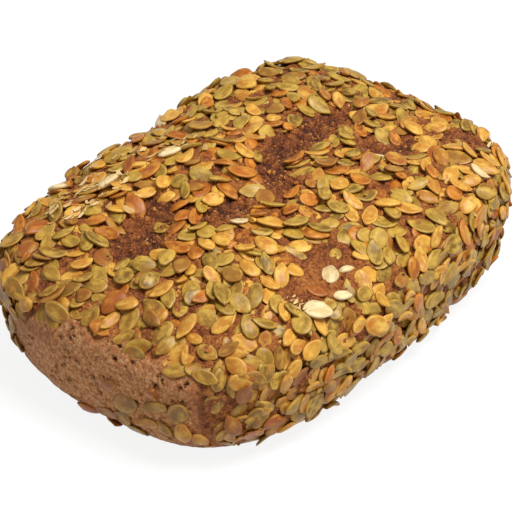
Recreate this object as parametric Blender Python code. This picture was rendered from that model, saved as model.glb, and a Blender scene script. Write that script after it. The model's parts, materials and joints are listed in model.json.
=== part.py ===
"""A pumpkin seed rye loaf: one closed solid with the outer form of the baked bread.

The loaf is a box-shaped tin loaf. Its plan is a rounded rectangle, its sides lean out a little
towards the top, and the crown swells as a low dome that falls away more slowly at the -X end.
Cracks that opened as the loaf rose are shallow furrows in the crown. Units are metres, +Z is up,
X runs along the loaf, and the origin is in the middle of the flat base.
"""
import math

import bmesh
import bpy
from mathutils import Vector, noise

# Driving dimensions
LENGTH = 0.212
WIDTH = 0.150
RIM_HEIGHT = 0.056           # height of the crown's edge above the base
DOME_RISE = 0.014            # rise of the crown's middle above its edge
PLAN_POWER = 3.35            # roundness of the plan: 2 is an ellipse, more is squarer
SHOULDER_POWER = 2.9         # roundness of the shoulder, on the same scale
SIDE_DRAFT = 0.006           # how far the sides lean out between the foot and the shoulder
FOOT_RADIUS = 0.016          # rounding between the base and the sides
SHOULDER_DROP = 0.018        # height of the rounding between the sides and the crown
SIDE_SHOULDER = 0.018        # reach of that rounding across the loaf, at both long sides
PLAIN_END_SHOULDER = 0.070   # the same along the loaf, at the -X end
SEEDED_END_SHOULDER = 0.019  # the same along the loaf, at the +X end

# Cage divisions along X, Y and Z, and where the foot and the shoulder start on a side
CELLS = (36, 24, 15)
FOOT_SHARE = 0.30
SHOULDER_SHARE = 0.54

# Furrows in the crown: x, y, half length, half width, turn in degrees, depth
FURROWS = (
    (-0.054, 0.014, 0.022, 0.010, 14.0, 0.0030),
    (-0.026, -0.006, 0.014, 0.006, -6.0, 0.0022),
    (-0.003, -0.012, 0.010, 0.008, 20.0, 0.0022),
    (0.038, 0.006, 0.034, 0.007, 7.0, 0.0034),
    (0.052, -0.022, 0.014, 0.010, -30.0, 0.0018),
    (-0.034, -0.053, 0.014, 0.007, 0.0, 0.0014),
)

# Swellings (+) and hollows (-) of the whole skin: x, y, z, radius, height
SWELLINGS = (
    (-0.062, 0.066, 0.050, 0.024, 0.0018),
    (0.010, 0.070, 0.050, 0.024, -0.0014),
    (0.082, 0.048, 0.056, 0.022, 0.0018),
    (0.105, 0.004, 0.046, 0.022, -0.0012),
    (-0.020, -0.074, 0.034, 0.030, 0.0012),
    (0.050, -0.074, 0.026, 0.026, -0.0010),
)

# Gentle unevenness of the dough: wavelength and height
LUMPS = ((0.034, 0.0016), (0.015, 0.0008))
FLAT_FOOT = 0.010            # the unevenness fades out over this height above the base


def rounded(along, across, power):
    """Scale that takes a point of the unit square's edge to a superellipse of that power."""
    return (abs(along) ** power + abs(across) ** power) ** (-1.0 / power)


def side_profile(share):
    """Height, lean and share of the shoulder's reach, from the foot (0) to the crown's edge (1)."""
    shoulder_start = RIM_HEIGHT - SHOULDER_DROP
    if share < FOOT_SHARE:
        turn = share / FOOT_SHARE * math.pi / 2
        height = FOOT_RADIUS * (1 - math.cos(turn))
        lean = FOOT_RADIUS * (1 - math.sin(turn)) + SIDE_DRAFT * (1 - height / shoulder_start)
        return height, lean, 0.0
    if share < SHOULDER_SHARE:
        rise = (share - FOOT_SHARE) / (SHOULDER_SHARE - FOOT_SHARE)
        height = FOOT_RADIUS + (shoulder_start - FOOT_RADIUS) * rise
        return height, SIDE_DRAFT * (1 - height / shoulder_start), 0.0
    turn = 2 * (share - SHOULDER_SHARE) / (1 - SHOULDER_SHARE)
    inward = min(1.0, 2 - turn)
    upward = min(1.0, turn)
    scale = rounded(inward, upward, SHOULDER_POWER)
    return shoulder_start + SHOULDER_DROP * upward * scale, 0.0, 1 - inward * scale


def loaf_point(u, v, w):
    """The smooth loaf's point for the point u, v, w on the skin of a cube from -1 to 1."""
    reach = max(abs(u), abs(v))
    height, lean, shoulder = side_profile((w + 1) / 2)
    plain_end = lean + PLAIN_END_SHOULDER * shoulder
    seeded_end = lean + SEEDED_END_SHOULDER * shoulder
    half_length = (LENGTH - plain_end - seeded_end) / 2
    half_width = WIDTH / 2 - lean - SIDE_SHOULDER * shoulder
    scale = rounded(u, v, PLAN_POWER) * reach if reach > 0 else 0.0
    x = half_length * u * scale + (plain_end - seeded_end) / 2 * reach
    y = half_width * v * scale
    crown = max(0.0, 1 - (2 * x / LENGTH) ** 2) * max(0.0, 1 - (2 * y / WIDTH) ** 2)
    share_up = max(0.0, height - RIM_HEIGHT + SHOULDER_DROP) / SHOULDER_DROP
    return Vector((x, y, height + DOME_RISE * crown * share_up))


def unevenness(point):
    """How far the skin stands out (+) or in (-) from the smooth loaf at that point."""
    out = 0.0
    for x, y, z, radius, height in SWELLINGS:
        out += height * math.exp(-((point - Vector((x, y, z))).length / radius) ** 2)
    for index, (wavelength, height) in enumerate(LUMPS):
        out += height * noise.noise(point / wavelength + Vector((index * 7.3, 2.1, 0.0)))
    if point.z > RIM_HEIGHT - SHOULDER_DROP:
        for x, y, half_length, half_width, turn, depth in FURROWS:
            c, s = math.cos(math.radians(turn)), math.sin(math.radians(turn))
            along = ((point.x - x) * c + (point.y - y) * s) / half_length
            across = ((point.y - y) * c - (point.x - x) * s) / half_width
            out -= depth * math.exp(-along ** 4 - across ** 2)
    return out * min(1.0, point.z / FLAT_FOOT)


def cage():
    """A cube from -1 to 1, sliced into CELLS along the three axes."""
    bm = bmesh.new()
    bmesh.ops.create_cube(bm, size=2.0)
    for axis, cells in enumerate(CELLS):
        normal = Vector((0, 0, 0))
        normal[axis] = 1.0
        for index in range(1, cells):
            geom = bm.verts[:] + bm.edges[:] + bm.faces[:]
            at = normal * (2.0 * index / cells - 1.0)
            bmesh.ops.bisect_plane(bm, geom=geom, plane_co=at, plane_no=normal, dist=1e-6)
    return bm


def make_loaf(collection):
    """The loaf: the cage laid on the smooth form, then pushed in and out along its normals."""
    bm = cage()
    for vert in bm.verts:
        vert.co = loaf_point(*vert.co)
    bm.normal_update()
    offsets = [(vert, vert.normal * unevenness(vert.co)) for vert in bm.verts]
    for vert, offset in offsets:
        vert.co += offset
    bmesh.ops.recalc_face_normals(bm, faces=bm.faces[:])
    middle_x = (min(v.co.x for v in bm.verts) + max(v.co.x for v in bm.verts)) / 2
    middle_y = (min(v.co.y for v in bm.verts) + max(v.co.y for v in bm.verts)) / 2
    bmesh.ops.translate(bm, verts=bm.verts[:], vec=(-middle_x, -middle_y, 0))
    mesh = bpy.data.meshes.new("loaf")
    bm.to_mesh(mesh)
    bm.free()
    mesh.shade_smooth()
    loaf = bpy.data.objects.new("loaf", mesh)
    collection.objects.link(loaf)
    return loaf


def crust_material():
    """The browned rye crust: brown, dull and not metallic."""
    material = bpy.data.materials.new("rye_crust")
    material.use_nodes = True
    shader = material.node_tree.nodes["Principled BSDF"]
    shader.inputs["Base Color"].default_value = (0.262, 0.112, 0.045, 1.0)
    shader.inputs["Roughness"].default_value = 0.75
    shader.inputs["Metallic"].default_value = 0.0
    material.diffuse_color = (0.262, 0.112, 0.045, 1.0)
    return material


for old in list(bpy.data.objects):
    bpy.data.objects.remove(old, do_unlink=True)

bread = bpy.data.collections.new("rye_bread_loaf")
bpy.context.scene.collection.children.link(bread)
make_loaf(bread).data.materials.append(crust_material())
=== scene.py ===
"""A pumpkin seed rye loaf on a pale floor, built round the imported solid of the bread."""
import json
import math

import bmesh
import bpy
import numpy as np
from mathutils import Matrix, Vector, kdtree

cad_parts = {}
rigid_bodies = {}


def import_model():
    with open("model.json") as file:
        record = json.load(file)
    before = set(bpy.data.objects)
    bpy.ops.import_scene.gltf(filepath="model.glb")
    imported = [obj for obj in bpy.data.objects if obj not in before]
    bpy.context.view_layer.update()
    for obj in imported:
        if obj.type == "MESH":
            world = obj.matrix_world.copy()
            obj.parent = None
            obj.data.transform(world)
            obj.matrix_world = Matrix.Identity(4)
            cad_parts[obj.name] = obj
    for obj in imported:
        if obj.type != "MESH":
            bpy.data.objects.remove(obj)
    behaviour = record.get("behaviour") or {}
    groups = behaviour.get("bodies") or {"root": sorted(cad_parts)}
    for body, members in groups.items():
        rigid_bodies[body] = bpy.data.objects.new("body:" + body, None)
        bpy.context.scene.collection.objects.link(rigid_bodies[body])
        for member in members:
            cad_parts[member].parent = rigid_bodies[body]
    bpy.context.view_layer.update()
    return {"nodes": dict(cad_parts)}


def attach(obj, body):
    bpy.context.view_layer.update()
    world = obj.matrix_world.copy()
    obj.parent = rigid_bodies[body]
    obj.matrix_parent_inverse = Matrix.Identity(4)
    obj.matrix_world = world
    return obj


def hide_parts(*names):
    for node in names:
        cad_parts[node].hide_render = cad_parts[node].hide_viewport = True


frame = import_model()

MM = 0.001


# ---------------------------------------------------------------- camera
# A long lens a metre from the loaf, above the corner between the plain end and a long side.
AZIMUTH = math.radians(-50.05)
ELEVATION = math.radians(35.3)
CAMERA_DISTANCE = 1.032
AIM = Vector((-4.4 * MM, -0.7 * MM, 29.9 * MM))

backwards = Vector((
    math.sin(AZIMUTH) * math.cos(ELEVATION),
    -math.cos(AZIMUTH) * math.cos(ELEVATION),
    math.sin(ELEVATION),
))
camera_data = bpy.data.cameras.new("camera")
camera_data.sensor_width = 36.0
camera_data.lens = 181.4
camera = bpy.data.objects.new("camera", camera_data)
camera.location = AIM + backwards * CAMERA_DISTANCE
camera.rotation_euler = backwards.to_track_quat("Z", "Y").to_euler()
bpy.context.scene.collection.objects.link(camera)
bpy.context.scene.camera = camera


# ---------------------------------------------------------------- studio
# A pale sweep under soft light: one broad lamp high over the long side, a faint fill on the plain end,
# and an even, slightly warm sky.
def linear(hex_colour):
    """An sRGB hex colour as linear RGBA."""
    parts = [int(hex_colour[i:i + 2], 16) / 255 for i in (1, 3, 5)]
    return [p / 12.92 if p <= 0.04045 else ((p + 0.055) / 1.055) ** 2.4 for p in parts] + [1.0]


def add(tree, kind, inputs=None, **settings):
    """A new node. inputs maps a socket's name or number to its value or to the socket that feeds it."""
    made = tree.nodes.new(kind)
    for name, value in settings.items():
        setattr(made, name, value)
    for name, value in (inputs or {}).items():
        if isinstance(value, bpy.types.NodeSocket):
            tree.links.new(value, made.inputs[name])
        else:
            made.inputs[name].default_value = value
    return made


def calc(tree, operation, *terms):
    """The result of a Math node."""
    return add(tree, "ShaderNodeMath", dict(enumerate(terms)), operation=operation).outputs[0]


def ranged(tree, value, from_low, from_high, to_low=0.0, to_high=1.0):
    """A value carried from one range to another, and held inside it."""
    return add(tree, "ShaderNodeMapRange", {"Value": value, "From Min": from_low, "From Max": from_high,
                                            "To Min": to_low, "To Max": to_high}).outputs[0]


def noise(tree, place, scale, detail=2.0, roughness=0.5):
    """The value of a noise texture."""
    return add(tree, "ShaderNodeTexNoise", {"Vector": place, "Scale": scale, "Detail": detail,
                                            "Roughness": roughness}).outputs[0]


def cells(tree, place, size):
    """The distance to the middle of cells that are size millimetres across."""
    return add(tree, "ShaderNodeTexVoronoi", {"Vector": place, "Scale": 1000 / size}).outputs["Distance"]


def mixed(tree, share, first, second):
    """Two colours, mixed."""
    node = add(tree, "ShaderNodeMix", {"Factor": share, "A": first, "B": second}, data_type="RGBA")
    return node.outputs["Result"]


def attribute(tree, name, output="Fac"):
    """A value that a material reads from its mesh."""
    return add(tree, "ShaderNodeAttribute", attribute_name=name).outputs[output]


def named(tree, name):
    """A value that a geometry tree reads from its mesh."""
    return add(tree, "GeometryNodeInputNamedAttribute", {"Name": name}, data_type="FLOAT").outputs[0]


def new_material(name):
    """An empty node material, its tree and its output node."""
    material = bpy.data.materials.new(name)
    material.use_nodes = True
    material.node_tree.nodes.clear()
    return material, material.node_tree, add(material.node_tree, "ShaderNodeOutputMaterial")


FLOOR_SIZE = 6.0
FLOOR_SHADE = 0.14           # share of the floor's white that a full shadow can take away

paper, tree, output = new_material("matt_white_backdrop_paper")
seen = add(tree, "ShaderNodeLightPath")
direct = add(tree, "ShaderNodeMath", {0: seen.outputs["Is Camera Ray"], 1: seen.outputs["Is Glossy Ray"]},
             operation="MAXIMUM")
through = add(tree, "ShaderNodeMath", {0: direct.outputs[0], 1: seen.outputs["Is Transmission Ray"]},
              operation="MAXIMUM")
shaded = add(tree, "ShaderNodeBsdfDiffuse", {"Color": (FLOOR_SHADE, FLOOR_SHADE, FLOOR_SHADE, 1)})
glow = add(tree, "ShaderNodeEmission", {"Color": (1, 1, 1, 1), "Strength": 1.0 - FLOOR_SHADE * 0.9})
lit = add(tree, "ShaderNodeAddShader", {0: shaded.outputs[0], 1: glow.outputs[0]})
plain = add(tree, "ShaderNodeBsdfDiffuse", {"Color": linear("#BEB8B0")})
chosen = add(tree, "ShaderNodeMixShader", {0: through.outputs[0], 1: plain.outputs[0], 2: lit.outputs[0]})
tree.links.new(chosen.outputs[0], output.inputs["Surface"])

bm = bmesh.new()
bmesh.ops.create_grid(bm, x_segments=1, y_segments=1, size=FLOOR_SIZE / 2)
floor_mesh = bpy.data.meshes.new("floor")
bm.to_mesh(floor_mesh)
bm.free()
floor_mesh.materials.append(paper)
floor = bpy.data.objects.new("floor", floor_mesh)
bpy.context.scene.collection.objects.link(floor)

world = bpy.data.worlds.new("sky")
world.use_nodes = True
world.node_tree.nodes["Background"].inputs["Color"].default_value = (1.0, 0.96, 0.90, 1)
world.node_tree.nodes["Background"].inputs["Strength"].default_value = 0.38
bpy.context.scene.world = world
bpy.context.scene.view_settings.view_transform = "Standard"


def lamp(name, azimuth, elevation, distance, size, power):
    """A square soft lamp that looks at the loaf from that side."""
    data = bpy.data.lights.new(name, "AREA")
    data.size = size
    data.energy = power
    made = bpy.data.objects.new(name, data)
    a, e = math.radians(azimuth), math.radians(elevation)
    towards = Vector((math.sin(a) * math.cos(e), -math.cos(a) * math.cos(e), math.sin(e)))
    made.location = AIM + towards * distance
    made.rotation_euler = towards.to_track_quat("Z", "Y").to_euler()
    bpy.context.scene.collection.objects.link(made)


lamp("key", 8, 66, 1.6, 0.65, 26.8)
lamp("fill", -100, 30, 1.8, 1.0, 0.4)


# ---------------------------------------------------------------- bread: form
# The baked dough itself, one piece: rye crumb with a browned, crumbly crust where the crown cracked,
# and a smooth dull crust on the plain end, which was pressed against the tin.
CRUST_GRID = 1.06 * MM        # edge length of the crust's mesh
CRUST_INSET = 1.5 * MM        # the dough lies this far inside the solid, and the seeds stand on it

# Bare places of the crown: x, y, half length, half width, turn in degrees, bareness,
# and how torn the crust is
CRACKS = (
    (-54, 14, 23, 12, 14, 0.98, 1.0),
    (-25, -7, 18, 9, -6, 1.00, 1.0),
    (-2, -11, 14, 12, 20, 0.97, 1.0),
    (38, 6, 40, 11, 7, 1.00, 1.0),
    (53, -21, 16, 11, -30, 0.92, 0.6),
    (47, -33, 8, 6, 0, 0.65, 0.4),
    (-31, -54, 23, 11, 5, 0.96, 0.1),
    (-88, -45, 9, 7, 20, 0.85, 0.3),
    (84, -36, 11, 16, 20, 0.95, 0.4),
    (-22, -38, 8, 5, 40, 0.70, 0.3),
    (14, -52, 8, 5, -20, 0.60, 0.2),
    (-72, -26, 7, 5, 10, 0.60, 0.4),
    (-82, 28, 8, 5, 60, 0.60, 0.4),
    (12, 62, 14, 5, 0, 0.75, 0.4),
    (-8, 20, 9, 4, 30, 0.60, 0.6),
)
# Thin places on the sides: x, y, z, radius, bareness
THIN_PLACES = (
    (-95, -53, 33, 13, 0.80),
    (-70, -68, 20, 9, 0.55),
    (-5, -75, 25, 9, 0.45),
    (100, 20, 40, 12, 0.55),
    (30, 74, 30, 14, 0.60),
    (-60, 72, 22, 12, 0.55),
)
PLAIN_END_TOP = 47.5          # height of the plain end's upper edge, which falls towards +Y


def smooth_step(edge_low, edge_high, value):
    """0 below the first edge, 1 above the second, and a smooth rise between them."""
    t = np.clip((value - edge_low) / (edge_high - edge_low), 0.0, 1.0)
    return t * t * (3.0 - 2.0 * t)


def plain_end(points, normals):
    """How far each point belongs to the plain end or the base, which the tin held, from 0 to 1."""
    x, y, z = points.T / MM
    edge = PLAIN_END_TOP + 1.6 * np.sin(y * 0.33) + 1.2 * np.sin(y * 0.71 + 1.0)
    edge -= np.clip(y - 12, 0, None) * 0.42
    facing = smooth_step(0.45, 0.7, -normals[:, 0])
    inside = smooth_step(-52, -45, y) * smooth_step(-48, -42, -y)
    base = smooth_step(0.6, 0.85, -normals[:, 2])
    return np.maximum(facing * inside * smooth_step(-2.0, 0.5, edge - z), base)


def tin_middle(points):
    """1 in the middle of the plain end, and 0 along its edges, which browned more."""
    y, z = points[:, 1] / MM, points[:, 2] / MM
    sideways = smooth_step(-50, -28, y) * smooth_step(-46, -22, -y)
    return sideways * smooth_step(3, 15, z) * smooth_step(-46, -34, -z - np.clip(y - 5, 0, None) * 0.4)


def bareness(points, normals):
    """How bare of seeds each point is, from 0 to 1, and how far it lies in a crack of the crown."""
    x, y, z = points.T / MM
    open_crust = np.zeros(len(points))
    crack = np.zeros(len(points))
    for cx, cy, half_length, half_width, turn, bare, torn in CRACKS:
        c, s = math.cos(math.radians(turn)), math.sin(math.radians(turn))
        along = ((x - cx) * c + (y - cy) * s) / half_length
        across = ((y - cy) * c - (x - cx) * s) / half_width
        inside = 1.0 - smooth_step(0.72, 1.22, np.sqrt(along ** 2 + across ** 2))
        inside *= bare * (normals[:, 2] > 0.2)
        open_crust = np.maximum(open_crust, inside)
        crack = np.maximum(crack, inside * torn)
    thin = np.zeros(len(points))
    for cx, cy, cz, radius, bare in THIN_PLACES:
        reach = np.sqrt((x - cx) ** 2 + (y - cy) ** 2 + (z - cz) ** 2) / radius
        thin = np.maximum(thin, bare * (1.0 - smooth_step(0.5, 1.1, reach)))
    return np.maximum(open_crust, thin), crack


def mesh_arrays(mesh):
    """Vertices, vertex normals and triangles of a mesh as arrays."""
    points = np.empty(len(mesh.vertices) * 3, np.float32)
    mesh.vertices.foreach_get("co", points)
    normals = np.empty(len(mesh.vertices) * 3, np.float32)
    mesh.vertices.foreach_get("normal", normals)
    mesh.calc_loop_triangles()
    triangles = np.empty(len(mesh.loop_triangles) * 3, np.int32)
    mesh.loop_triangles.foreach_get("vertices", triangles)
    points = points.reshape(-1, 3).astype(float)
    normals = normals.reshape(-1, 3).astype(float)
    return points, normals, triangles.reshape(-1, 3)


def evaluated_copy(piece, name):
    """A plain mesh of what a piece's modifiers make, with its attributes."""
    graph = bpy.context.evaluated_depsgraph_get()
    mesh = bpy.data.meshes.new_from_object(piece.evaluated_get(graph), preserve_all_data_layers=True,
                                           depsgraph=graph)
    mesh.name = name
    return mesh


def store(mesh, name, values, kind="FLOAT"):
    """One named value for each vertex."""
    attribute = mesh.attributes.new(name, kind, "POINT")
    field = "value" if kind in ("FLOAT", "INT", "QUATERNION") else "vector"
    attribute.data.foreach_set(field, np.ascontiguousarray(values, np.float32).ravel())


bm = bmesh.new()
bm.from_mesh(frame["nodes"]["loaf"].data)
bmesh.ops.remove_doubles(bm, verts=bm.verts[:], dist=1e-6)
dough_mesh = bpy.data.meshes.new("dough")
bm.to_mesh(dough_mesh)
bm.free()
dough = bpy.data.objects.new("dough", dough_mesh)
bpy.context.scene.collection.objects.link(dough)
even = dough.modifiers.new("even_mesh", "REMESH")
even.mode = "VOXEL"
even.voxel_size = CRUST_GRID
soften = dough.modifiers.new("soften_facets", "SMOOTH")
soften.factor = 0.5
soften.iterations = 40
form_mesh = evaluated_copy(dough, "loaf_form")
bpy.data.objects.remove(dough)

form_points, form_normals, form_triangles = mesh_arrays(form_mesh)
tin_crust = plain_end(form_points, form_normals)
bare, cracked = bareness(form_points, form_normals)
store(form_mesh, "tin_crust", tin_crust)
store(form_mesh, "tin_middle", tin_middle(form_points))
store(form_mesh, "cracked", cracked)
store(form_mesh, "off_base", smooth_step(0.5, 7.0, form_points[:, 2] / MM))


# ---------------------------------------------------------------- bread: crust relief
# Gas and steam tear a rye crust into crumbs and pits; against the tin it sets nearly smooth, with pores.
def add_input(tree, name, kind, value=None):
    """A named input of a node group and its identifier."""
    made = tree.interface.new_socket(name, in_out="INPUT", socket_type=kind)
    if value is not None:
        made.default_value = value
    return made.identifier


CLUMP_SIZE = 3.6              # mm, across a clump of crumb
CRUMB_SIZE = 1.9              # mm, across a crumb on a clump
PORE_SPACING = 4.0            # mm, between the larger pores of the tin side
BLOTCH_SIZE = 2.6             # mm, across the dark blotches round them

relief = bpy.data.node_groups.new("crust_relief", "GeometryNodeTree")
add_input(relief, "Dough", "NodeSocketGeometry")
relief_inputs = {
    "Inset": add_input(relief, "Inset", "NodeSocketFloat"),
    "Lump Height": add_input(relief, "Lump Height", "NodeSocketFloat"),
    "Clump Height": add_input(relief, "Clump Height", "NodeSocketFloat"),
    "Crumb Height": add_input(relief, "Crumb Height", "NodeSocketFloat"),
    "Pore Depth": add_input(relief, "Pore Depth", "NodeSocketFloat"),
    "Crust": add_input(relief, "Crust", "NodeSocketMaterial"),
}
relief.interface.new_socket("Bread", in_out="OUTPUT", socket_type="NodeSocketGeometry")
given = add(relief, "NodeGroupInput")
place = add(relief, "GeometryNodeInputPosition").outputs[0]
tin = named(relief, "tin_crust")
torn = named(relief, "cracked")
off_base = named(relief, "off_base")
stir = add(relief, "ShaderNodeTexNoise", {"Vector": place, "Scale": 240.0, "Detail": 2.0}).outputs["Color"]
stirred = add(relief, "ShaderNodeVectorMath", {0: stir, 1: (0.004, 0.004, 0.004), 2: place},
              operation="MULTIPLY_ADD").outputs[0]
lumps = noise(relief, place, 95.0, 2.0)
clumps = cells(relief, stirred, CLUMP_SIZE)
crumbs = cells(relief, stirred, CRUMB_SIZE)
ragged = add(relief, "ShaderNodeTexNoise", {"Vector": place, "Scale": 460.0, "Detail": 1.0})
ragged = add(relief, "ShaderNodeVectorMath", {0: ragged.outputs["Color"], 1: (0.0045, 0.0045, 0.0045),
                                              2: stirred},
             operation="MULTIPLY_ADD").outputs[0]
pores = cells(relief, ragged, PORE_SPACING)
lump_height = calc(relief, "SUBTRACT", lumps, 0.5)
lump_height = calc(relief, "MULTIPLY", lump_height, given.outputs["Lump Height"])
clump_height = calc(relief, "SUBTRACT", 0.45, clumps)
clump_height = calc(relief, "MULTIPLY", clump_height, given.outputs["Clump Height"])
crumb_height = calc(relief, "SUBTRACT", 0.45, crumbs)
crumb_height = calc(relief, "MULTIPLY", crumb_height, given.outputs["Crumb Height"])
fine = calc(relief, "ADD", clump_height, crumb_height)
tear_gain = ranged(relief, torn, 0.0, 1.0, 0.75, 1.45)
fine = calc(relief, "MULTIPLY", fine, tear_gain)
sunk = calc(relief, "MULTIPLY", torn, -0.9 * MM)
torn_height = calc(relief, "ADD", lump_height, fine)
torn_height = calc(relief, "ADD", torn_height, sunk)
pore_share = add(relief, "ShaderNodeMapRange", {
    "Value": pores, "From Min": 0.14, "From Max": 0.34, "To Min": -1.0, "To Max": 0.0},
    interpolation_type="SMOOTHSTEP").outputs[0]
pore_where = ranged(relief, lumps, 0.42, 0.54, 0.15, 1.0)
pore_share = calc(relief, "MULTIPLY", pore_share, pore_where)
pore_height = calc(relief, "MULTIPLY", pore_share, given.outputs["Pore Depth"])
tin_height = calc(relief, "MULTIPLY_ADD", fine, 0.20, pore_height)
tin_height = calc(relief, "MULTIPLY_ADD", lump_height, 0.40, tin_height)
height_here = add(relief, "ShaderNodeMix", {"Factor": tin, "A": torn_height, "B": tin_height},
                  data_type="FLOAT").outputs[0]
inset_share = ranged(relief, tin, 0.0, 1.0, 1.0, 0.25)
inset = calc(relief, "MULTIPLY", inset_share, given.outputs["Inset"])
surface = calc(relief, "SUBTRACT", height_here, inset)
surface = calc(relief, "MULTIPLY", surface, off_base)
outward = add(relief, "GeometryNodeInputNormal").outputs[0]
offset = add(relief, "ShaderNodeVectorMath", {0: outward, "Scale": surface}, operation="SCALE").outputs[0]
relief_mm = calc(relief, "MULTIPLY", height_here, 1000.0)
marked = add(relief, "GeometryNodeStoreNamedAttribute", {
    "Geometry": given.outputs["Dough"], "Name": "relief", "Value": relief_mm},
    data_type="FLOAT", domain="POINT")
moved = add(relief, "GeometryNodeSetPosition", {"Geometry": marked.outputs[0], "Offset": offset})
coated = add(relief, "GeometryNodeSetMaterial", {"Geometry": moved.outputs[0],
                                                 "Material": given.outputs["Crust"]})
add(relief, "NodeGroupOutput", {0: coated.outputs[0]})

# Baked rye crust: dull, rough and brown. Crumbs are tan on top and darker lower down, a painted shade in the
# pits between them; the tin side is an even, matt mid brown with fine pores painted dark as shade.
CRUMB_GRAIN = 0.8             # mm, the finest grains that show
# The darkest brown is painted shade, for the pits of the crumb and the pores of the tin side.
PIT_SHADE_BROWN = "#50260E"
CRUMB_BROWN = "#98501E"
CRUMB_TAN = "#CC863C"
TIN_EDGE = "#8C461E"
TIN_DARK = "#884A24"
TIN_BROWN = "#DE9254"
TIN_PALE = "#FFD298"

crust, tree, output = new_material("baked_rye_crust")
place = add(tree, "ShaderNodeTexCoord").outputs["Object"]
tin = attribute(tree, "tin_crust")
level = attribute(tree, "relief")
grain = noise(tree, place, 1000 / CRUMB_GRAIN / 1.6, 4.0, 0.7)
patches = noise(tree, place, 110.0, 3.0)
# Lower relief gets a darker colour: painted shade in the hollows between the crumbs.
depth_shade_tone = ranged(tree, level, -2.8, 1.9, 0.0, 1.0)
grain_tone = ranged(tree, grain, 0.32, 0.70, -0.40, 0.40)
patch_tone = ranged(tree, patches, 0.3, 0.7, -0.12, 0.12)
tone = calc(tree, "ADD", depth_shade_tone, grain_tone)
tone = calc(tree, "ADD", tone, patch_tone)
crumb_colour = add(tree, "ShaderNodeValToRGB", {"Fac": tone})
ramp = crumb_colour.color_ramp
ramp.elements[0].position, ramp.elements[0].color = 0.10, linear(PIT_SHADE_BROWN)
ramp.elements[1].position, ramp.elements[1].color = 1.0, linear(CRUMB_TAN)
ramp.elements.new(0.50).color = linear(CRUMB_BROWN)
tin_grain = noise(tree, place, 700.0, 5.0, 0.75)
grain_spread = ranged(tree, tin_grain, 0.34, 0.66)
tin_colour = add(tree, "ShaderNodeValToRGB", {"Fac": grain_spread})
ramp = tin_colour.color_ramp
ramp.elements[0].position, ramp.elements[0].color = 0.05, linear(TIN_DARK)
ramp.elements[1].position, ramp.elements[1].color = 0.95, linear(TIN_PALE)
ramp.elements.new(0.45).color = linear(TIN_BROWN)
blotches = noise(tree, place, 1000 / BLOTCH_SIZE, 3.0, 0.6)
blotch = ranged(tree, blotches, 0.54, 0.64, 0.0, 0.70)
blotch_where = ranged(tree, patches, 0.42, 0.56, 0.15, 1.0)
blotch = calc(tree, "MULTIPLY", blotch, blotch_where)
middle = attribute(tree, "tin_middle")
browned = ranged(tree, middle, 0.0, 1.0, 0.42, 0.0)
browned = calc(tree, "MAXIMUM", browned, blotch)
tin_browned = mixed(tree, browned, tin_colour.outputs[0], linear(TIN_EDGE))
# Where the pores sink, the colour goes to the darkest brown: painted shade inside the pores.
painted_pore_shade = ranged(tree, level, -1.5, -0.7, 0.92, 0.0)
tin_with_pore_shade = mixed(tree, painted_pore_shade, tin_browned, linear(PIT_SHADE_BROWN))
both = mixed(tree, tin, crumb_colour.outputs[0], tin_with_pore_shade)
bump_height = add(tree, "ShaderNodeMix", {"Factor": tin, "A": grain, "B": tin_grain},
                  data_type="FLOAT").outputs[0]
bump = add(tree, "ShaderNodeBump", {"Height": bump_height, "Distance": 1.6 * MM,
                                    "Strength": 1.0}).outputs[0]
shader = add(tree, "ShaderNodeBsdfPrincipled", {"Base Color": both, "Roughness": 0.62,
                                                 "Specular IOR Level": 0.45, "Normal": bump})
tree.links.new(shader.outputs[0], output.inputs["Surface"])

bread = bpy.data.objects.new("bread", form_mesh)
bpy.context.scene.collection.objects.link(bread)
baking = bread.modifiers.new("crust_relief", "NODES")
baking.node_group = relief
baking[relief_inputs["Inset"]] = CRUST_INSET
baking[relief_inputs["Lump Height"]] = 3.0 * MM
baking[relief_inputs["Clump Height"]] = 2.6 * MM
baking[relief_inputs["Crumb Height"]] = 1.1 * MM
baking[relief_inputs["Pore Depth"]] = 2.2 * MM
baking[relief_inputs["Crust"]] = crust
bread_mesh = evaluated_copy(bread, "bread")
bpy.data.objects.remove(bread)
bread_mesh.shade_smooth()
bread = bpy.data.objects.new("bread", bread_mesh)
bpy.context.scene.collection.objects.link(bread)

# The height of the baked ground over the form, for the kernels to stand on
relief_height = np.empty(len(form_points), np.float32)
bread_mesh.attributes["relief"].data.foreach_get("value", relief_height)
ground_height = (relief_height - 0.25 * CRUST_INSET / MM * tin_crust) * MM - CRUST_INSET * (1.0 - tin_crust)
ground_points = form_points + form_normals * ground_height[:, None]

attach(bread, "root")
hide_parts("loaf")


# ---------------------------------------------------------------- kernels: shapes
# Hulled pumpkin seed kernels: flat drops about 11 by 7 mm with rounded rims, pointed at one end, each a
# little bent or hollow. They are pressed into the wet dough and toast with the crust.
KERNEL_LENGTH = 10.4 * MM
RIM_POINTS = 16

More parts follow.
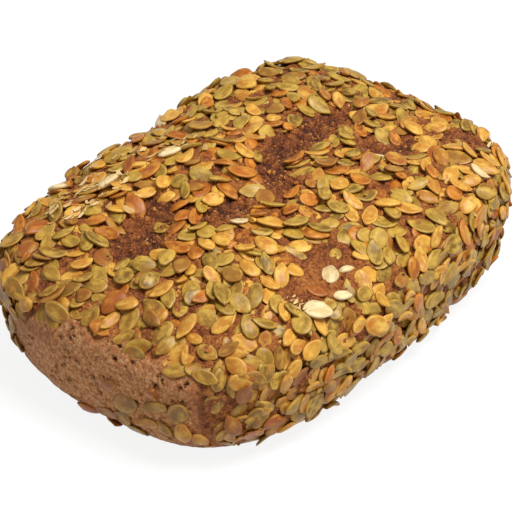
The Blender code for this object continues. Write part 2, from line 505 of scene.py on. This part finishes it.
# Masters: width / length, taper, pinch of the tip, thickness, bend and hollow in mm, and where it broke off
KERNEL_SHAPES = (
    (0.60, 0.16, 0.30, 1.6, 0.4, 0.00, 1.2),
    (0.66, 0.10, 0.25, 1.8, -0.5, 0.00, 1.2),
    (0.52, 0.18, 0.40, 1.6, 0.8, 0.00, 1.2),
    (0.72, 0.08, 0.25, 1.7, 0.2, 0.25, 1.2),
    (0.56, 0.12, 0.45, 1.9, -0.4, 0.00, 1.2),
    (0.47, 0.08, 0.40, 1.5, 1.1, 0.00, 1.2),
    (0.78, 0.04, 0.10, 1.6, 0.4, 0.20, 1.2),
    (0.62, 0.22, 0.30, 1.3, -1.0, 0.00, 1.2),
    (0.54, 0.02, 0.45, 1.6, 0.6, 0.30, 1.2),
    (0.68, 0.14, 0.15, 1.7, 1.2, 0.00, 1.2),
    (0.64, 0.15, 0.20, 1.5, 0.3, 0.10, 0.30),
    (0.56, 0.20, 0.30, 1.6, -0.2, 0.00, -0.05),
)
SHAPE_SHARES = (0.15, 0.13, 0.12, 0.10, 0.13, 0.07, 0.05, 0.07, 0.07, 0.06, 0.03, 0.02)


def kernel_mesh(name, slim, taper, pinch, thick, bend, hollow, broken, seed):
    """One kernel from six rims and two middles; along and across are kept for its material."""
    dice = np.random.default_rng(seed)
    turns = np.linspace(0.0, 2 * math.pi, RIM_POINTS, endpoint=False)
    wobble = 1.0 + 0.03 * dice.standard_normal(RIM_POINTS)
    half_length = KERNEL_LENGTH / 2
    half_width = half_length * slim
    half_thick = thick * MM / 2
    rims = ((0.48, 0.96), (0.80, 0.78), (0.95, 0.42), (1.0, -0.05), (0.88, -0.60), (0.50, -0.92))
    points = []
    keys = []

    def add_point(u, v, lift):
        x, y = u * half_length, v * half_width
        z = lift * half_thick + bend * MM * (u * u - 0.3)
        if lift > 0.0:
            z -= hollow * MM * max(0.0, 1.0 - u * u - v * v) * 2.0
            z += 0.10 * MM * math.sin(3.1 * u + seed) * math.cos(4.3 * v + 2 * seed)
        points.append((x, y, z))
        keys.append((u, v, lift))

    for share, lift in rims:
        for turn, wave in zip(turns, wobble):
            u = math.cos(turn)
            v = math.copysign(abs(math.sin(turn)) ** 1.22, math.sin(turn)) * (1.0 - taper * u)
            v *= 1.0 - pinch * max(0.0, u) ** 3
            u += 0.10 * max(0.0, u) ** 8
            add_point(min(u * share * wave, broken + 0.05 * v), v * share * wave, lift)
    add_point(0.0, 0.0, 1.0)
    add_point(0.0, 0.0, -1.0)
    faces = []
    n = RIM_POINTS
    for ring in range(len(rims) - 1):
        for i in range(n):
            j = (i + 1) % n
            faces.append((ring * n + i, (ring + 1) * n + i, (ring + 1) * n + j, ring * n + j))
    top, bottom = len(points) - 2, len(points) - 1
    last = (len(rims) - 1) * n
    for i in range(n):
        j = (i + 1) % n
        faces.append((top, i, j))
        faces.append((bottom, last + j, last + i))
    mesh = bpy.data.meshes.new(name)
    mesh.from_pydata(points, [], faces)
    mesh.shade_smooth()
    store(mesh, "kernel", keys, "FLOAT_VECTOR")
    return mesh


kernel_collection = bpy.data.collections.new("kernel_shapes")
for index, numbers in enumerate(KERNEL_SHAPES):
    shape = kernel_mesh(f"kernel_shape_{index}", *numbers, 40 + index)
    kernel_collection.objects.link(bpy.data.objects.new(f"kernel_shape_{index}", shape))


# ---------------------------------------------------------------- kernels: places
# Each kernel is laid where the coat is thinnest and settles on the dough and on those under it.
KERNEL_COUNT = 1480
TRIES = 4
LOWEST_SEED = 2.2             # mm, no seed centre lies lower than this above the base
MOST_TILT = (0.26, 0.58)      # steepest slope of a kernel against the dough, on the sides and on the crown
MOST_RISE = (1.6, 4.8)        # furthest a kernel stands off, in mm, on the sides and on the crown
PRESS = 0.62                  # share of a kernel's thickness that sinks into the dough
DEEPEST = 0.22                # the furthest that chance adds to that share
WOBBLE = 0.11                 # how unevenly the kernels lie, as a slope
LEAN = 0.36                   # slope of the few that lean on their neighbours
LEANING_SHARE = 0.07          # share of the kernels that lean so
LEANS_ABOVE = 35 * MM         # only kernels this high above the base lean
NEIGHBOUR_REACH = 14.0 * MM   # kernels whose middles are nearer than this can touch
LEAST_CLEARANCE = 0.6 * MM    # a kernel's lowest tip stays this far above the base
LEVEL_BELOW = 14 * MM         # kernels lower than this lie along the base's edge, or nearly
BURIED_COST = 50.0            # keeps a kernel from a spot where it would be hidden

# Pale kernels that came last and lie on top: x, y, z, turn in degrees, length and width against the
# common size
PALE_KERNELS = (
    (-45, -64, 55, 40, 1.15, 1.45),
    (-27, -56, 61, 125, 1.00, 1.05),
    (-31, -66, 56, 60, 0.80, 0.62),
    (-21, -59, 61, 60, 0.62, 0.50),
    (-48, 64, 55, 30, 0.85, 1.05),
    (-42, 43, 66, 75, 1.05, 0.80),
    (-12, 38, 69, 60, 1.00, 0.70),
)

dice = np.random.default_rng(11)
corners = form_points[form_triangles]
areas = np.linalg.norm(np.cross(corners[:, 1] - corners[:, 0], corners[:, 2] - corners[:, 0]), axis=1) / 2
reach_of = np.cumsum(areas) / areas.sum()


def spots_on_loaf(count):
    """Even random points of the skin, their normals, and how far each is on the end and how bare."""
    chosen = form_triangles[np.searchsorted(reach_of, dice.random(count))]
    a, b = dice.random((2, count))
    flip = a + b > 1
    a[flip], b[flip] = 1 - a[flip], 1 - b[flip]
    weights = np.stack([1 - a - b, a, b], 1)
    points = (form_points[chosen] * weights[:, :, None]).sum(1)
    normals = (form_normals[chosen] * weights[:, :, None]).sum(1)
    normals /= np.linalg.norm(normals, axis=1)[:, None]
    end = (tin_crust[chosen] * weights).sum(1)
    empty = (bare[chosen] * weights).sum(1)
    return points - normals * CRUST_INSET, normals, end, empty


def seed_chance(points, normals, end, empty):
    """The chance that a kernel sticks at each point."""
    x, y, z = points.T / MM
    embedded = smooth_step(9, 20, -y) * smooth_step(-34, -27, -z)
    embedded = np.maximum(embedded, 0.35 * smooth_step(-20, -12, -z) * smooth_step(-12, 4, -y))
    chance = (1.0 - empty) * (1.0 - end * (0.988 - 0.95 * embedded))
    chance[(z < LOWEST_SEED) | (normals[:, 2] < -0.75)] = 0.0
    return chance


def perpendicular(normal, turn):
    """Two directions in the plane across a normal, turned by an angle."""
    helper = np.array((0.0, 0.0, 1.0)) if abs(normal[2]) < 0.8 else np.array((1.0, 0.0, 0.0))
    first = np.cross(helper, normal)
    first /= np.linalg.norm(first)
    second = np.cross(normal, first)
    along = first * math.cos(turn) + second * math.sin(turn)
    return along, np.cross(normal, along)


SOLE = np.array([(0.0, 0.0)] + [(0.92 * math.cos(t), 0.92 * math.sin(t)) for t in np.arange(8) * math.pi / 4]
                + [(0.5 * math.cos(t), 0.5 * math.sin(t)) for t in (np.arange(4) + 0.5) * math.pi / 2])
SOLE_RISE = np.sqrt(1.0 - (SOLE ** 2).sum(1))

ground_tree = kdtree.KDTree(len(form_points))
for index, form_point in enumerate(form_points):
    ground_tree.insert(form_point, index)
ground_tree.balance()

ALL_KERNELS = KERNEL_COUNT + len(PALE_KERNELS)
laid = {key: np.zeros((ALL_KERNELS, 3)) for key in ("centre", "along", "across", "up")}
halves = np.zeros((ALL_KERNELS, 3))
shapes = np.zeros(ALL_KERNELS, int)
count = 0


def settle(point, normal, turn, half, press, wobble):
    """Where a kernel comes to rest: height over the dough, its two slopes, and its mean height."""
    along, across = perpendicular(normal, turn)
    feet = point + SOLE[:, :1] * half[0] * along + SOLE[:, 1:] * half[1] * across
    under = [ground_tree.find(foot)[1] for foot in feet + normal * CRUST_INSET]
    dough_level = (ground_points[under] - point) @ normal - 2 * half[2] * press
    ground = dough_level.copy()
    near = np.nonzero(((laid["centre"][:count] - point) ** 2).sum(1) < NEIGHBOUR_REACH ** 2)[0]
    if len(near):
        up = laid["up"][near]
        facing = up @ normal
        gap = laid["centre"][near][None] - feet[:, None]
        level = (gap * up[None]).sum(2) / np.maximum(facing, 0.3)
        hit = level[:, :, None] * normal - gap
        u = (hit * laid["along"][near][None]).sum(2) / halves[near, 0]
        v = (hit * laid["across"][near][None]).sum(2) / halves[near, 1]
        inside = 1.0 - u * u - v * v
        top = level + halves[near, 2] * np.sqrt(np.clip(inside, 0, 1)) ** 0.6
        top = np.where((inside > 0) & (facing > 0.3), top, -1.0)
        ground = np.maximum(ground, top.max(1))
    wanted = ground + half[2] * SOLE_RISE
    base = np.stack([np.ones(len(SOLE)), SOLE[:, 0] * half[0], SOLE[:, 1] * half[1]], 1)
    fit, *_ = np.linalg.lstsq(base, wanted, rcond=None)
    fit[1:] += wobble
    slope = math.hypot(fit[1], fit[2])
    crown = float(smooth_step(0.35, 0.8, normal[2]))
    most = MOST_TILT[0] + (MOST_TILT[1] - MOST_TILT[0]) * crown
    if slope > most:
        fit[1:] *= most / slope
    over = np.sort(wanted - base @ fit)
    fit[0] += max(0.0, over[-2] - 0.25 * half[2])
    fit[0] = min(fit[0], (MOST_RISE[0] + (MOST_RISE[1] - MOST_RISE[0]) * crown) * MM)
    cover = (ground > dough_level + 1e-6).mean()
    return fit, cover, along, across


def tilted(normal, fit, along, across):
    """The three directions of something flat once it is tilted by its two slopes."""
    up = normal - along * fit[1] - across * fit[2]
    up /= np.linalg.norm(up)
    along = along - up * (along @ up)
    along /= np.linalg.norm(along)
    return along, np.cross(up, along), up


def keep_kernel(point, normal, fit, along, across, half, shape):
    """Writes down where a settled kernel lies."""
    laid["centre"][count] = point + normal * fit[0]
    laid["along"][count], laid["across"][count], laid["up"][count] = tilted(normal, fit, along, across)
    halves[count] = half
    shapes[count] = shape


while count < KERNEL_COUNT:
    points, normals, end, empty = spots_on_loaf(TRIES * 3)
    keep = np.nonzero(dice.random(len(points)) < seed_chance(points, normals, end, empty))[0][:TRIES]
    if not len(keep):
        continue
    shape = dice.choice(len(KERNEL_SHAPES), p=SHAPE_SHARES)
    size = np.clip(dice.normal(1.0, 0.12), 0.72, 1.24)
    slim, thick = KERNEL_SHAPES[shape][0], KERNEL_SHAPES[shape][3]
    wobble = dice.normal(0.0, WOBBLE, 2)
    lean = dice.normal(0.0, LEAN, 2) * (dice.random() < LEANING_SHARE)
    half = np.array((KERNEL_LENGTH / 2 * size, KERNEL_LENGTH / 2 * slim * size, thick * MM / 2))
    depth = DEEPEST * dice.random() ** 2
    best = None
    for spot in keep:
        press = PRESS * (1.0 - 0.75 * end[spot]) + depth * (1.0 - end[spot])
        turn = dice.random() * 2 * math.pi
        fit, cover, along, across = settle(points[spot], normals[spot], turn, half, press,
                                          wobble + lean * (points[spot][2] > LEANS_ABOVE))
        middle_height = points[spot][2] + fit[0] * normals[spot][2]
        sag = middle_height - abs(along[2]) * half[0] - abs(across[2]) * half[1]
        buried = sag < LEAST_CLEARANCE or (end[spot] > 0.5 and cover > 0.1)
        across_edge = 1.2 * abs(along[2]) if points[spot][2] < LEVEL_BELOW else 0.0
        cost = cover + fit[0] / half[2] * 0.3 + across_edge + 0.05 * dice.random()
        cost += BURIED_COST if buried else 0.0
        if best is None or cost < best[0]:
            best = (cost, spot, fit, along, across)
    cost, spot, fit, along, across = best
    if cost > 0.8 * BURIED_COST:
        continue
    keep_kernel(points[spot], normals[spot], fit, along, across, half, shape)
    count += 1

for x, y, z, turn, longer, wider in PALE_KERNELS:
    at = np.argmin(((form_points - np.array((x, y, z)) * MM) ** 2).sum(1))
    half = np.array((KERNEL_LENGTH / 2 * longer, KERNEL_LENGTH / 2 * 0.64 * wider, 1.05 * MM))
    point = form_points[at] - form_normals[at] * CRUST_INSET
    fit, cover, along, across = settle(point, form_normals[at], math.radians(turn), half, 0.4, 0.0)
    keep_kernel(point, form_normals[at], fit, along, across, half, 1)
    count += 1


# ---------------------------------------------------------------- kernels: pieces
# Green kernels kept their skin's colour, golden ones dried out, and the brown ones toasted right through.
lay = bpy.data.node_groups.new("lay_pieces", "GeometryNodeTree")
add_input(lay, "Places", "NodeSocketGeometry")
lay_inputs = {
    "Shapes": add_input(lay, "Shapes", "NodeSocketCollection"),
    "Surface": add_input(lay, "Surface", "NodeSocketMaterial"),
}
lay.interface.new_socket("Pieces", in_out="OUTPUT", socket_type="NodeSocketGeometry")
given = add(lay, "NodeGroupInput")
shelf = add(lay, "GeometryNodeCollectionInfo", {
    "Collection": given.outputs["Shapes"], "Separate Children": True, "Reset Children": True})
which = add(lay, "GeometryNodeInputNamedAttribute", {"Name": "shape"}, data_type="INT")
turned = add(lay, "GeometryNodeInputNamedAttribute", {"Name": "turn"}, data_type="QUATERNION")
sized = add(lay, "GeometryNodeInputNamedAttribute", {"Name": "size"}, data_type="FLOAT_VECTOR")
cloud = add(lay, "GeometryNodeMeshToPoints", {"Mesh": given.outputs["Places"]})
placed = add(lay, "GeometryNodeInstanceOnPoints", {
    "Points": cloud.outputs[0], "Instance": shelf.outputs[0], "Pick Instance": True,
    "Instance Index": which.outputs[0], "Rotation": turned.outputs[0], "Scale": sized.outputs[0]})
real = add(lay, "GeometryNodeRealizeInstances", {"Geometry": placed.outputs[0]})
coated = add(lay, "GeometryNodeSetMaterial", {
    "Geometry": real.outputs[0], "Material": given.outputs["Surface"]})
add(lay, "NodeGroupOutput", {0: coated.outputs[0]})


def clear_shelf(collection):
    """Removes the shapes that pieces were copied from."""
    for shape_object in list(collection.objects):
        bpy.data.objects.remove(shape_object)
    bpy.data.collections.remove(collection)


def lay_pieces(name, centres, along, across, up, sizes, shape, tint, coat, shelf_collection, material):
    """One piece made of copies of the shelf's shapes, each at its place, turn and size."""
    mesh = bpy.data.meshes.new(name + "_places")
    mesh.from_pydata([tuple(c) for c in centres], [], [])
    turns = [Matrix((a, b, c)).transposed().to_quaternion() for a, b, c in zip(along, across, up)]
    store(mesh, "turn", [tuple(q) for q in turns], "QUATERNION")
    store(mesh, "size", sizes, "FLOAT_VECTOR")
    shape_numbers = mesh.attributes.new("shape", "INT", "POINT")
    shape_numbers.data.foreach_set("value", np.asarray(shape, np.int32))
    store(mesh, "tint", tint)
    store(mesh, "coat", coat)
    store(mesh, "spot", dice.random(len(centres)) * 100.0)
    holder = bpy.data.objects.new(name + "_places", mesh)
    bpy.context.scene.collection.objects.link(holder)
    laying = holder.modifiers.new("lay_pieces", "NODES")
    laying.node_group = lay
    laying[lay_inputs["Shapes"]] = shelf_collection
    laying[lay_inputs["Surface"]] = material
    made = evaluated_copy(holder, name)
    bpy.data.objects.remove(holder)
    piece = bpy.data.objects.new(name, made)
    bpy.context.scene.collection.objects.link(piece)
    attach(piece, "root")
    return piece


def kernel_material(name, dark, body, pale_and_rim_highlight, edge, blush, blush_share):
    """Pumpkin kernel skin: satin, with sunny and browned blotches, faint ribs, a painted highlight inside the
    rim and painted shade along the edge.
    """
    material, tree, output = new_material(name)
    key = attribute(tree, "kernel", "Vector")
    tint = attribute(tree, "tint")
    spot = attribute(tree, "spot")
    own = add(tree, "ShaderNodeCombineXYZ", {"Z": spot})
    here = add(tree, "ShaderNodeVectorMath", {0: key, 1: own.outputs[0]}, operation="ADD").outputs[0]
    parts = add(tree, "ShaderNodeSeparateXYZ", {"Vector": key})
    flat = add(tree, "ShaderNodeCombineXYZ", {"X": parts.outputs["X"], "Y": parts.outputs["Y"]})
    from_middle = add(tree, "ShaderNodeVectorMath", {0: flat.outputs[0]},
                      operation="LENGTH").outputs["Value"]
    to_body = mixed(tree, tint, linear(dark), linear(body))
    cloudy = noise(tree, here, 1.1, 4.0, 0.6)
    sunny = ranged(tree, cloudy, 0.42, 0.64, 0.0, 0.85)
    lighter = mixed(tree, sunny, to_body, linear(pale_and_rim_highlight))
    elsewhere = add(tree, "ShaderNodeVectorMath", {0: here, 1: (7.3, 2.1, 5.7)}, operation="ADD").outputs[0]
    patchy = noise(tree, elsewhere, 1.0, 4.0, 0.65)
    blush_at = ranged(tree, patchy, 0.66 - blush_share * 0.3, 0.80 - blush_share * 0.3, 0.0, 0.90)
    blushed = mixed(tree, blush_at, lighter, linear(blush))
    # A pale band inside the rim is a painted highlight; the darker outermost edge is painted shade where the
    # kernel meets what lies under it.
    rim_highlight_share = ranged(tree, from_middle, 0.72, 0.88, 0.0, 0.40)
    rim_highlighted = mixed(tree, rim_highlight_share, blushed, linear(pale_and_rim_highlight))
    edge_shade_share = ranged(tree, from_middle, 0.88, 1.02, 0.0, 0.90)
    edge_shaded = mixed(tree, edge_shade_share, rim_highlighted, linear(edge))
    # The crumb brown mixed in here is partly dough on the kernel and partly painted shade near the plain end.
    coat = attribute(tree, "coat")
    coat_here = ranged(tree, patchy, 0.35, 0.60, 0.5, 1.2)
    coat_and_shade_share = calc(tree, "MULTIPLY", coat, coat_here)
    coated = mixed(tree, coat_and_shade_share, edge_shaded, linear(CRUMB_BROWN))
    stretched = add(tree, "ShaderNodeVectorMath", {0: here, 1: (1.5, 8.0, 1.0)}, operation="MULTIPLY")
    ribs = noise(tree, stretched.outputs[0], 1.0, 3.0)
    rib_tone = ranged(tree, ribs, 0.3, 0.7, 0.91, 1.06)
    toned = add(tree, "ShaderNodeVectorMath", {0: coated, "Scale": rib_tone}, operation="SCALE")
    bump = add(tree, "ShaderNodeBump", {"Height": ribs, "Distance": 0.2 * MM, "Strength": 0.4})
    shader = add(tree, "ShaderNodeBsdfPrincipled", {"Base Color": toned.outputs[0], "Roughness": 0.42,
                                                     "Specular IOR Level": 0.38, "Normal": bump.outputs[0]})
    tree.links.new(shader.outputs[0], output.inputs["Surface"])
    return material


green = kernel_material("green_kernel_skin", "#72561C", "#B28C34", "#D8B24C", "#664414", "#B46C2A", 0.28)
golden = kernel_material("golden_kernel_skin", "#BA7E2C", "#D89C3A", "#F2C458", "#A0621A", "#C4701E", 0.42)
toasted = kernel_material("toasted_kernel_skin", "#9C5212", "#C6701C", "#DE9A38", "#78380C", "#8E440E", 0.48)
pale = kernel_material("pale_kernel_skin", "#CCAC74", "#E2CA92", "#F6E4B4", "#B48E54", "#CCA05E", 0.22)

from_crown = np.linalg.norm(laid["centre"][:, :2] / MM - np.array((0.0, 2.0)), axis=1)
roast = 0.10 + 0.16 * np.exp(-(from_crown / 48.0) ** 2)
far_end = smooth_step(40, 90, laid["centre"][:, 0] / MM)
roast += 0.07 * far_end
GOLDEN_SHARE = 0.30
STRAY_PALE_SHARE = 0.005
draw = dice.random(ALL_KERNELS)
kinds = np.where(draw < roast, 2, np.where(draw < roast + GOLDEN_SHARE, 1, 0))
kinds[dice.random(ALL_KERNELS) < STRAY_PALE_SHARE] = 3
kinds[KERNEL_COUNT:] = 3
height = laid["centre"][:, 2] / MM
# Kernels near the plain end, below the top of the crown, get a smaller tint and more crumb brown: painted shade
# on that side of the loaf. Kernels low on the sides and at the far end also get a little darker.
near_end = smooth_step(50, 88, -laid["centre"][:, 0] / MM)
low = 1.0 - smooth_step(14, 42, height)
painted_end_shade = near_end * (1.0 - smooth_step(48, 68, height))
tints_and_end_shade = dice.random(ALL_KERNELS) * (1.0 - 0.25 * low - 0.50 * painted_end_shade - 0.50 * far_end)
coats_and_end_shade = np.where(dice.random(ALL_KERNELS) < 0.14, 0.35 + 0.4 * dice.random(ALL_KERNELS), 0.08)
coats_and_end_shade = np.clip(coats_and_end_shade + 0.22 * painted_end_shade + 0.08 * low * near_end + 0.03 * far_end, 0.0, 0.8)
coats_and_end_shade[kinds == 3] = 0.1
coats_and_end_shade[KERNEL_COUNT:] = 0.0
scales = halves / np.array([(KERNEL_LENGTH / 2, KERNEL_LENGTH / 2 * s[0], s[3] * MM / 2)
                            for s in KERNEL_SHAPES])[shapes]
for kind, (name, material) in enumerate((("green_kernels", green), ("golden_kernels", golden),
                                         ("toasted_kernels", toasted), ("pale_kernels", pale))):
    mine = kinds == kind
    lay_pieces(name, laid["centre"][mine], laid["along"][mine], laid["across"][mine], laid["up"][mine],
               scales[mine], shapes[mine], tints_and_end_shade[mine], coats_and_end_shade[mine], kernel_collection, material)
clear_shelf(kernel_collection)


# ---------------------------------------------------------------- torn skins
# Papery shreds of seed skin and broken kernel, under half a millimetre thick. They curl up on the kernels in
# a few clusters, where the coat was strewn last.
def shred_mesh(name, seed):
    """A curled shred with a torn outline: a top, a bottom and a thin edge."""
    dice = np.random.default_rng(seed)
    turns = np.linspace(0.0, 2 * math.pi, 11, endpoint=False)
    reach = 0.62 + 0.38 * dice.random(11)
    curl = 0.04 + 0.12 * dice.random()
    points = [(0.0, 0.0, 0.04), (0.0, 0.0, -0.04)]
    for side in (0.04, -0.04):
        for turn, share in zip(turns, reach):
            u, v = share * math.cos(turn), share * math.sin(turn)
            points.append((u, v, side + curl * u * u + 0.06 * math.sin(5 * v + seed)))
    faces = []
    for i in range(11):
        j = (i + 1) % 11
        faces.append((0, 2 + i, 2 + j))
        faces.append((1, 13 + j, 13 + i))
        faces.append((2 + i, 13 + i, 13 + j, 2 + j))
    mesh = bpy.data.meshes.new(name)
    mesh.from_pydata(points, [], faces)
    return mesh


# Clusters: x, y, spread along and across the loaf, how many shreds, and half the length of a middling one
SHRED_CLUSTERS = (
    (-44, 44, 7, 6, 32, 2.7),
    (-63, 50, 5, 6, 26, 2.7),
    (-9, 39, 7, 5, 14, 2.9),
    (-28, 56, 10, 4, 8, 3.0),
    (-49, -56, 2.6, 2.4, 18, 1.3),
    (52, -66, 3, 3, 2, 3.0),
    (87, -49, 3, 3, 3, 3.0),
)

# Torn seed skin: dry, cream and matt, a little golden where it browned.
skin, tree, output = new_material("torn_seed_skin")
tint = attribute(tree, "tint")
tone = mixed(tree, tint, linear("#C09048"), linear("#E6CC90"))
shader = add(tree, "ShaderNodeBsdfPrincipled", {"Base Color": tone, "Roughness": 0.62})
tree.links.new(shader.outputs[0], output.inputs["Surface"])

shred_collection = bpy.data.collections.new("shred_shapes")
for index in range(5):
    name = f"shred_shape_{index}"
    shred_collection.objects.link(bpy.data.objects.new(name, shred_mesh(name, 90 + index)))
crown = np.nonzero(form_normals[:, 2] > 0.25)[0]
shreds = {key: [] for key in ("centre", "along", "across", "up", "size", "shape")}
for x, y, spread_x, spread_y, number, middling in SHRED_CLUSTERS:
    for index in range(number):
        there = np.array((x + dice.normal() * spread_x, y + dice.normal() * spread_y)) * MM
        at = crown[np.argmin(((form_points[crown, :2] - there) ** 2).sum(1))]
        long_half = middling * MM * (0.5 + 0.8 * dice.random() ** 1.5)
        half = np.array((long_half, long_half * (0.22 + 0.30 * dice.random()), 0.2 * MM))
        point = form_points[at] - form_normals[at] * CRUST_INSET
        first, second = perpendicular(form_normals[at], 0.0)
        turn = math.atan2(second[0], first[0]) + dice.normal(0.0, 0.5)
        fit, cover, along, across = settle(point, form_normals[at], turn, half, 0.0, dice.normal(0.0, 0.05, 2))
        fit[1:] *= min(1.0, 0.35 / max(math.hypot(fit[1], fit[2]), 0.01))
        along, across, up = tilted(form_normals[at], fit, along, across)
        shreds["centre"].append(point + form_normals[at] * (fit[0] + 0.1 * MM))
        shreds["along"].append(along)
        shreds["across"].append(across)
        shreds["up"].append(up)
        shreds["size"].append((half[0], half[1], half[0] * 0.8))
        shreds["shape"].append(dice.integers(5))
lay_pieces("torn_skins", shreds["centre"], shreds["along"], shreds["across"], shreds["up"], shreds["size"],
           shreds["shape"], dice.random(len(shreds["shape"])), np.zeros(len(shreds["shape"])), shred_collection,
           skin)
clear_shelf(shred_collection)


# ---------------------------------------------------------------- crumbs
# Loose grains of broken crust, half a millimetre to two across. They lie thickest in the cracks of the
# crown and fill the gaps between the kernels.
def grain_mesh(name, seed):
    """An angular grain about 1 m across, scaled down where it is laid."""
    dice = np.random.default_rng(seed)
    bm = bmesh.new()
    bmesh.ops.create_icosphere(bm, subdivisions=1, radius=0.5)
    for vert in bm.verts:
        vert.co *= 0.8 + 0.5 * dice.random()
        vert.co.z *= 0.75
    mesh = bpy.data.meshes.new(name)
    bm.to_mesh(mesh)
    bm.free()
    return mesh


grain_collection = bpy.data.collections.new("grain_shapes")
for index in range(4):
    name = f"grain_shape_{index}"
    grain_collection.objects.link(bpy.data.objects.new(name, grain_mesh(name, 70 + index)))

scatter = bpy.data.node_groups.new("scatter_grains", "GeometryNodeTree")
add_input(scatter, "Bread", "NodeSocketGeometry")
scatter_inputs = {
    "Shapes": add_input(scatter, "Shapes", "NodeSocketCollection"),
    "Surface": add_input(scatter, "Surface", "NodeSocketMaterial"),
    "Density": add_input(scatter, "Density", "NodeSocketFloat"),
    "Smallest": add_input(scatter, "Smallest", "NodeSocketFloat"),
    "Largest": add_input(scatter, "Largest", "NodeSocketFloat"),
    "Seed": add_input(scatter, "Seed", "NodeSocketInt"),
}
scatter.interface.new_socket("Pieces", in_out="OUTPUT", socket_type="NodeSocketGeometry")
given = add(scatter, "NodeGroupInput")
share = named(scatter, "grain_share")
density = calc(scatter, "MULTIPLY", share, given.outputs["Density"])
strewn = add(scatter, "GeometryNodeDistributePointsOnFaces", {
    "Mesh": given.outputs["Bread"], "Density": density, "Seed": given.outputs["Seed"]},
    distribute_method="RANDOM")
shelf = add(scatter, "GeometryNodeCollectionInfo", {"Collection": given.outputs["Shapes"],
                                                    "Separate Children": True, "Reset Children": True})
tumble = add(scatter, "FunctionNodeRandomValue", {"Min": (0.0, 0.0, 0.0), "Max": (6.28, 6.28, 6.28), "Seed": 3},
             data_type="FLOAT_VECTOR")
many_small = add(scatter, "FunctionNodeRandomValue", {2: 0.0, 3: 1.0, "Seed": 5}, data_type="FLOAT")
few_large = calc(scatter, "POWER", many_small.outputs[1], 2.5)
grain_size = ranged(scatter, few_large, 0.0, 1.0, given.outputs["Smallest"], given.outputs["Largest"])
strewn_grains = add(scatter, "GeometryNodeInstanceOnPoints", {
    "Points": strewn.outputs["Points"], "Instance": shelf.outputs[0], "Pick Instance": True,
    "Rotation": tumble.outputs[0], "Scale": grain_size})
shade = add(scatter, "FunctionNodeRandomValue", {2: 0.0, 3: 1.0, "Seed": 9}, data_type="FLOAT")
toned = add(scatter, "GeometryNodeStoreNamedAttribute", {
    "Geometry": strewn_grains.outputs[0], "Name": "tint", "Value": shade.outputs[1]},
    data_type="FLOAT", domain="INSTANCE")
real = add(scatter, "GeometryNodeRealizeInstances", {"Geometry": toned.outputs[0]})
coated = add(scatter, "GeometryNodeSetMaterial", {"Geometry": real.outputs[0],
                                                  "Material": given.outputs["Surface"]})
add(scatter, "NodeGroupOutput", {0: coated.outputs[0]})

# Crust grains: most are as brown as the crust, some broke open to the lighter crumb inside.
grain_crust, tree, output = new_material("broken_crust_grains")
tint = attribute(tree, "tint")
tone = add(tree, "ShaderNodeValToRGB", {"Fac": tint})
ramp = tone.color_ramp
ramp.elements[0].position, ramp.elements[0].color = 0.0, linear("#5E2C0E")
ramp.elements[1].position, ramp.elements[1].color = 1.0, linear("#CA8C40")
ramp.elements.new(0.45).color = linear("#8E4818")
ramp.elements.new(0.85).color = linear("#AC6A28")
place = add(tree, "ShaderNodeTexCoord").outputs["Object"]
fine = add(tree, "ShaderNodeTexNoise", {"Vector": place, "Scale": 1200.0, "Detail": 2.0})
bump = add(tree, "ShaderNodeBump", {"Height": fine.outputs[0], "Distance": 0.3 * MM, "Strength": 0.6})
shader = add(tree, "ShaderNodeBsdfPrincipled", {"Base Color": tone.outputs[0], "Roughness": 0.52,
                                                 "Specular IOR Level": 0.5, "Normal": bump.outputs[0]})
tree.links.new(shader.outputs[0], output.inputs["Surface"])

crust_points = mesh_arrays(bread_mesh)[0]
crust_z = crust_points[:, 2] / MM
torn_here = np.empty(len(crust_points), np.float32)
bread_mesh.attributes["cracked"].data.foreach_get("value", torn_here)
tin_here = np.empty(len(crust_points), np.float32)
bread_mesh.attributes["tin_crust"].data.foreach_get("value", tin_here)
grain_share = (0.22 + torn_here) * (1.0 - 0.97 * tin_here) * smooth_step(2.5, 5.0, crust_z)
holder_mesh = bread_mesh.copy()
store(holder_mesh, "grain_share", grain_share)
holder = bpy.data.objects.new("crust_grains_places", holder_mesh)
bpy.context.scene.collection.objects.link(holder)
strewing = holder.modifiers.new("scatter_grains", "NODES")
strewing.node_group = scatter
strewing[scatter_inputs["Shapes"]] = grain_collection
strewing[scatter_inputs["Surface"]] = grain_crust
strewing[scatter_inputs["Density"]] = 0.22e6
strewing[scatter_inputs["Smallest"]] = 0.5 * MM
strewing[scatter_inputs["Largest"]] = 2.1 * MM
strewing[scatter_inputs["Seed"]] = 4
grains_mesh = evaluated_copy(holder, "crust_grains")
bpy.data.objects.remove(holder)
crust_grains = bpy.data.objects.new("crust_grains", grains_mesh)
bpy.context.scene.collection.objects.link(crust_grains)
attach(crust_grains, "root")
clear_shelf(grain_collection)
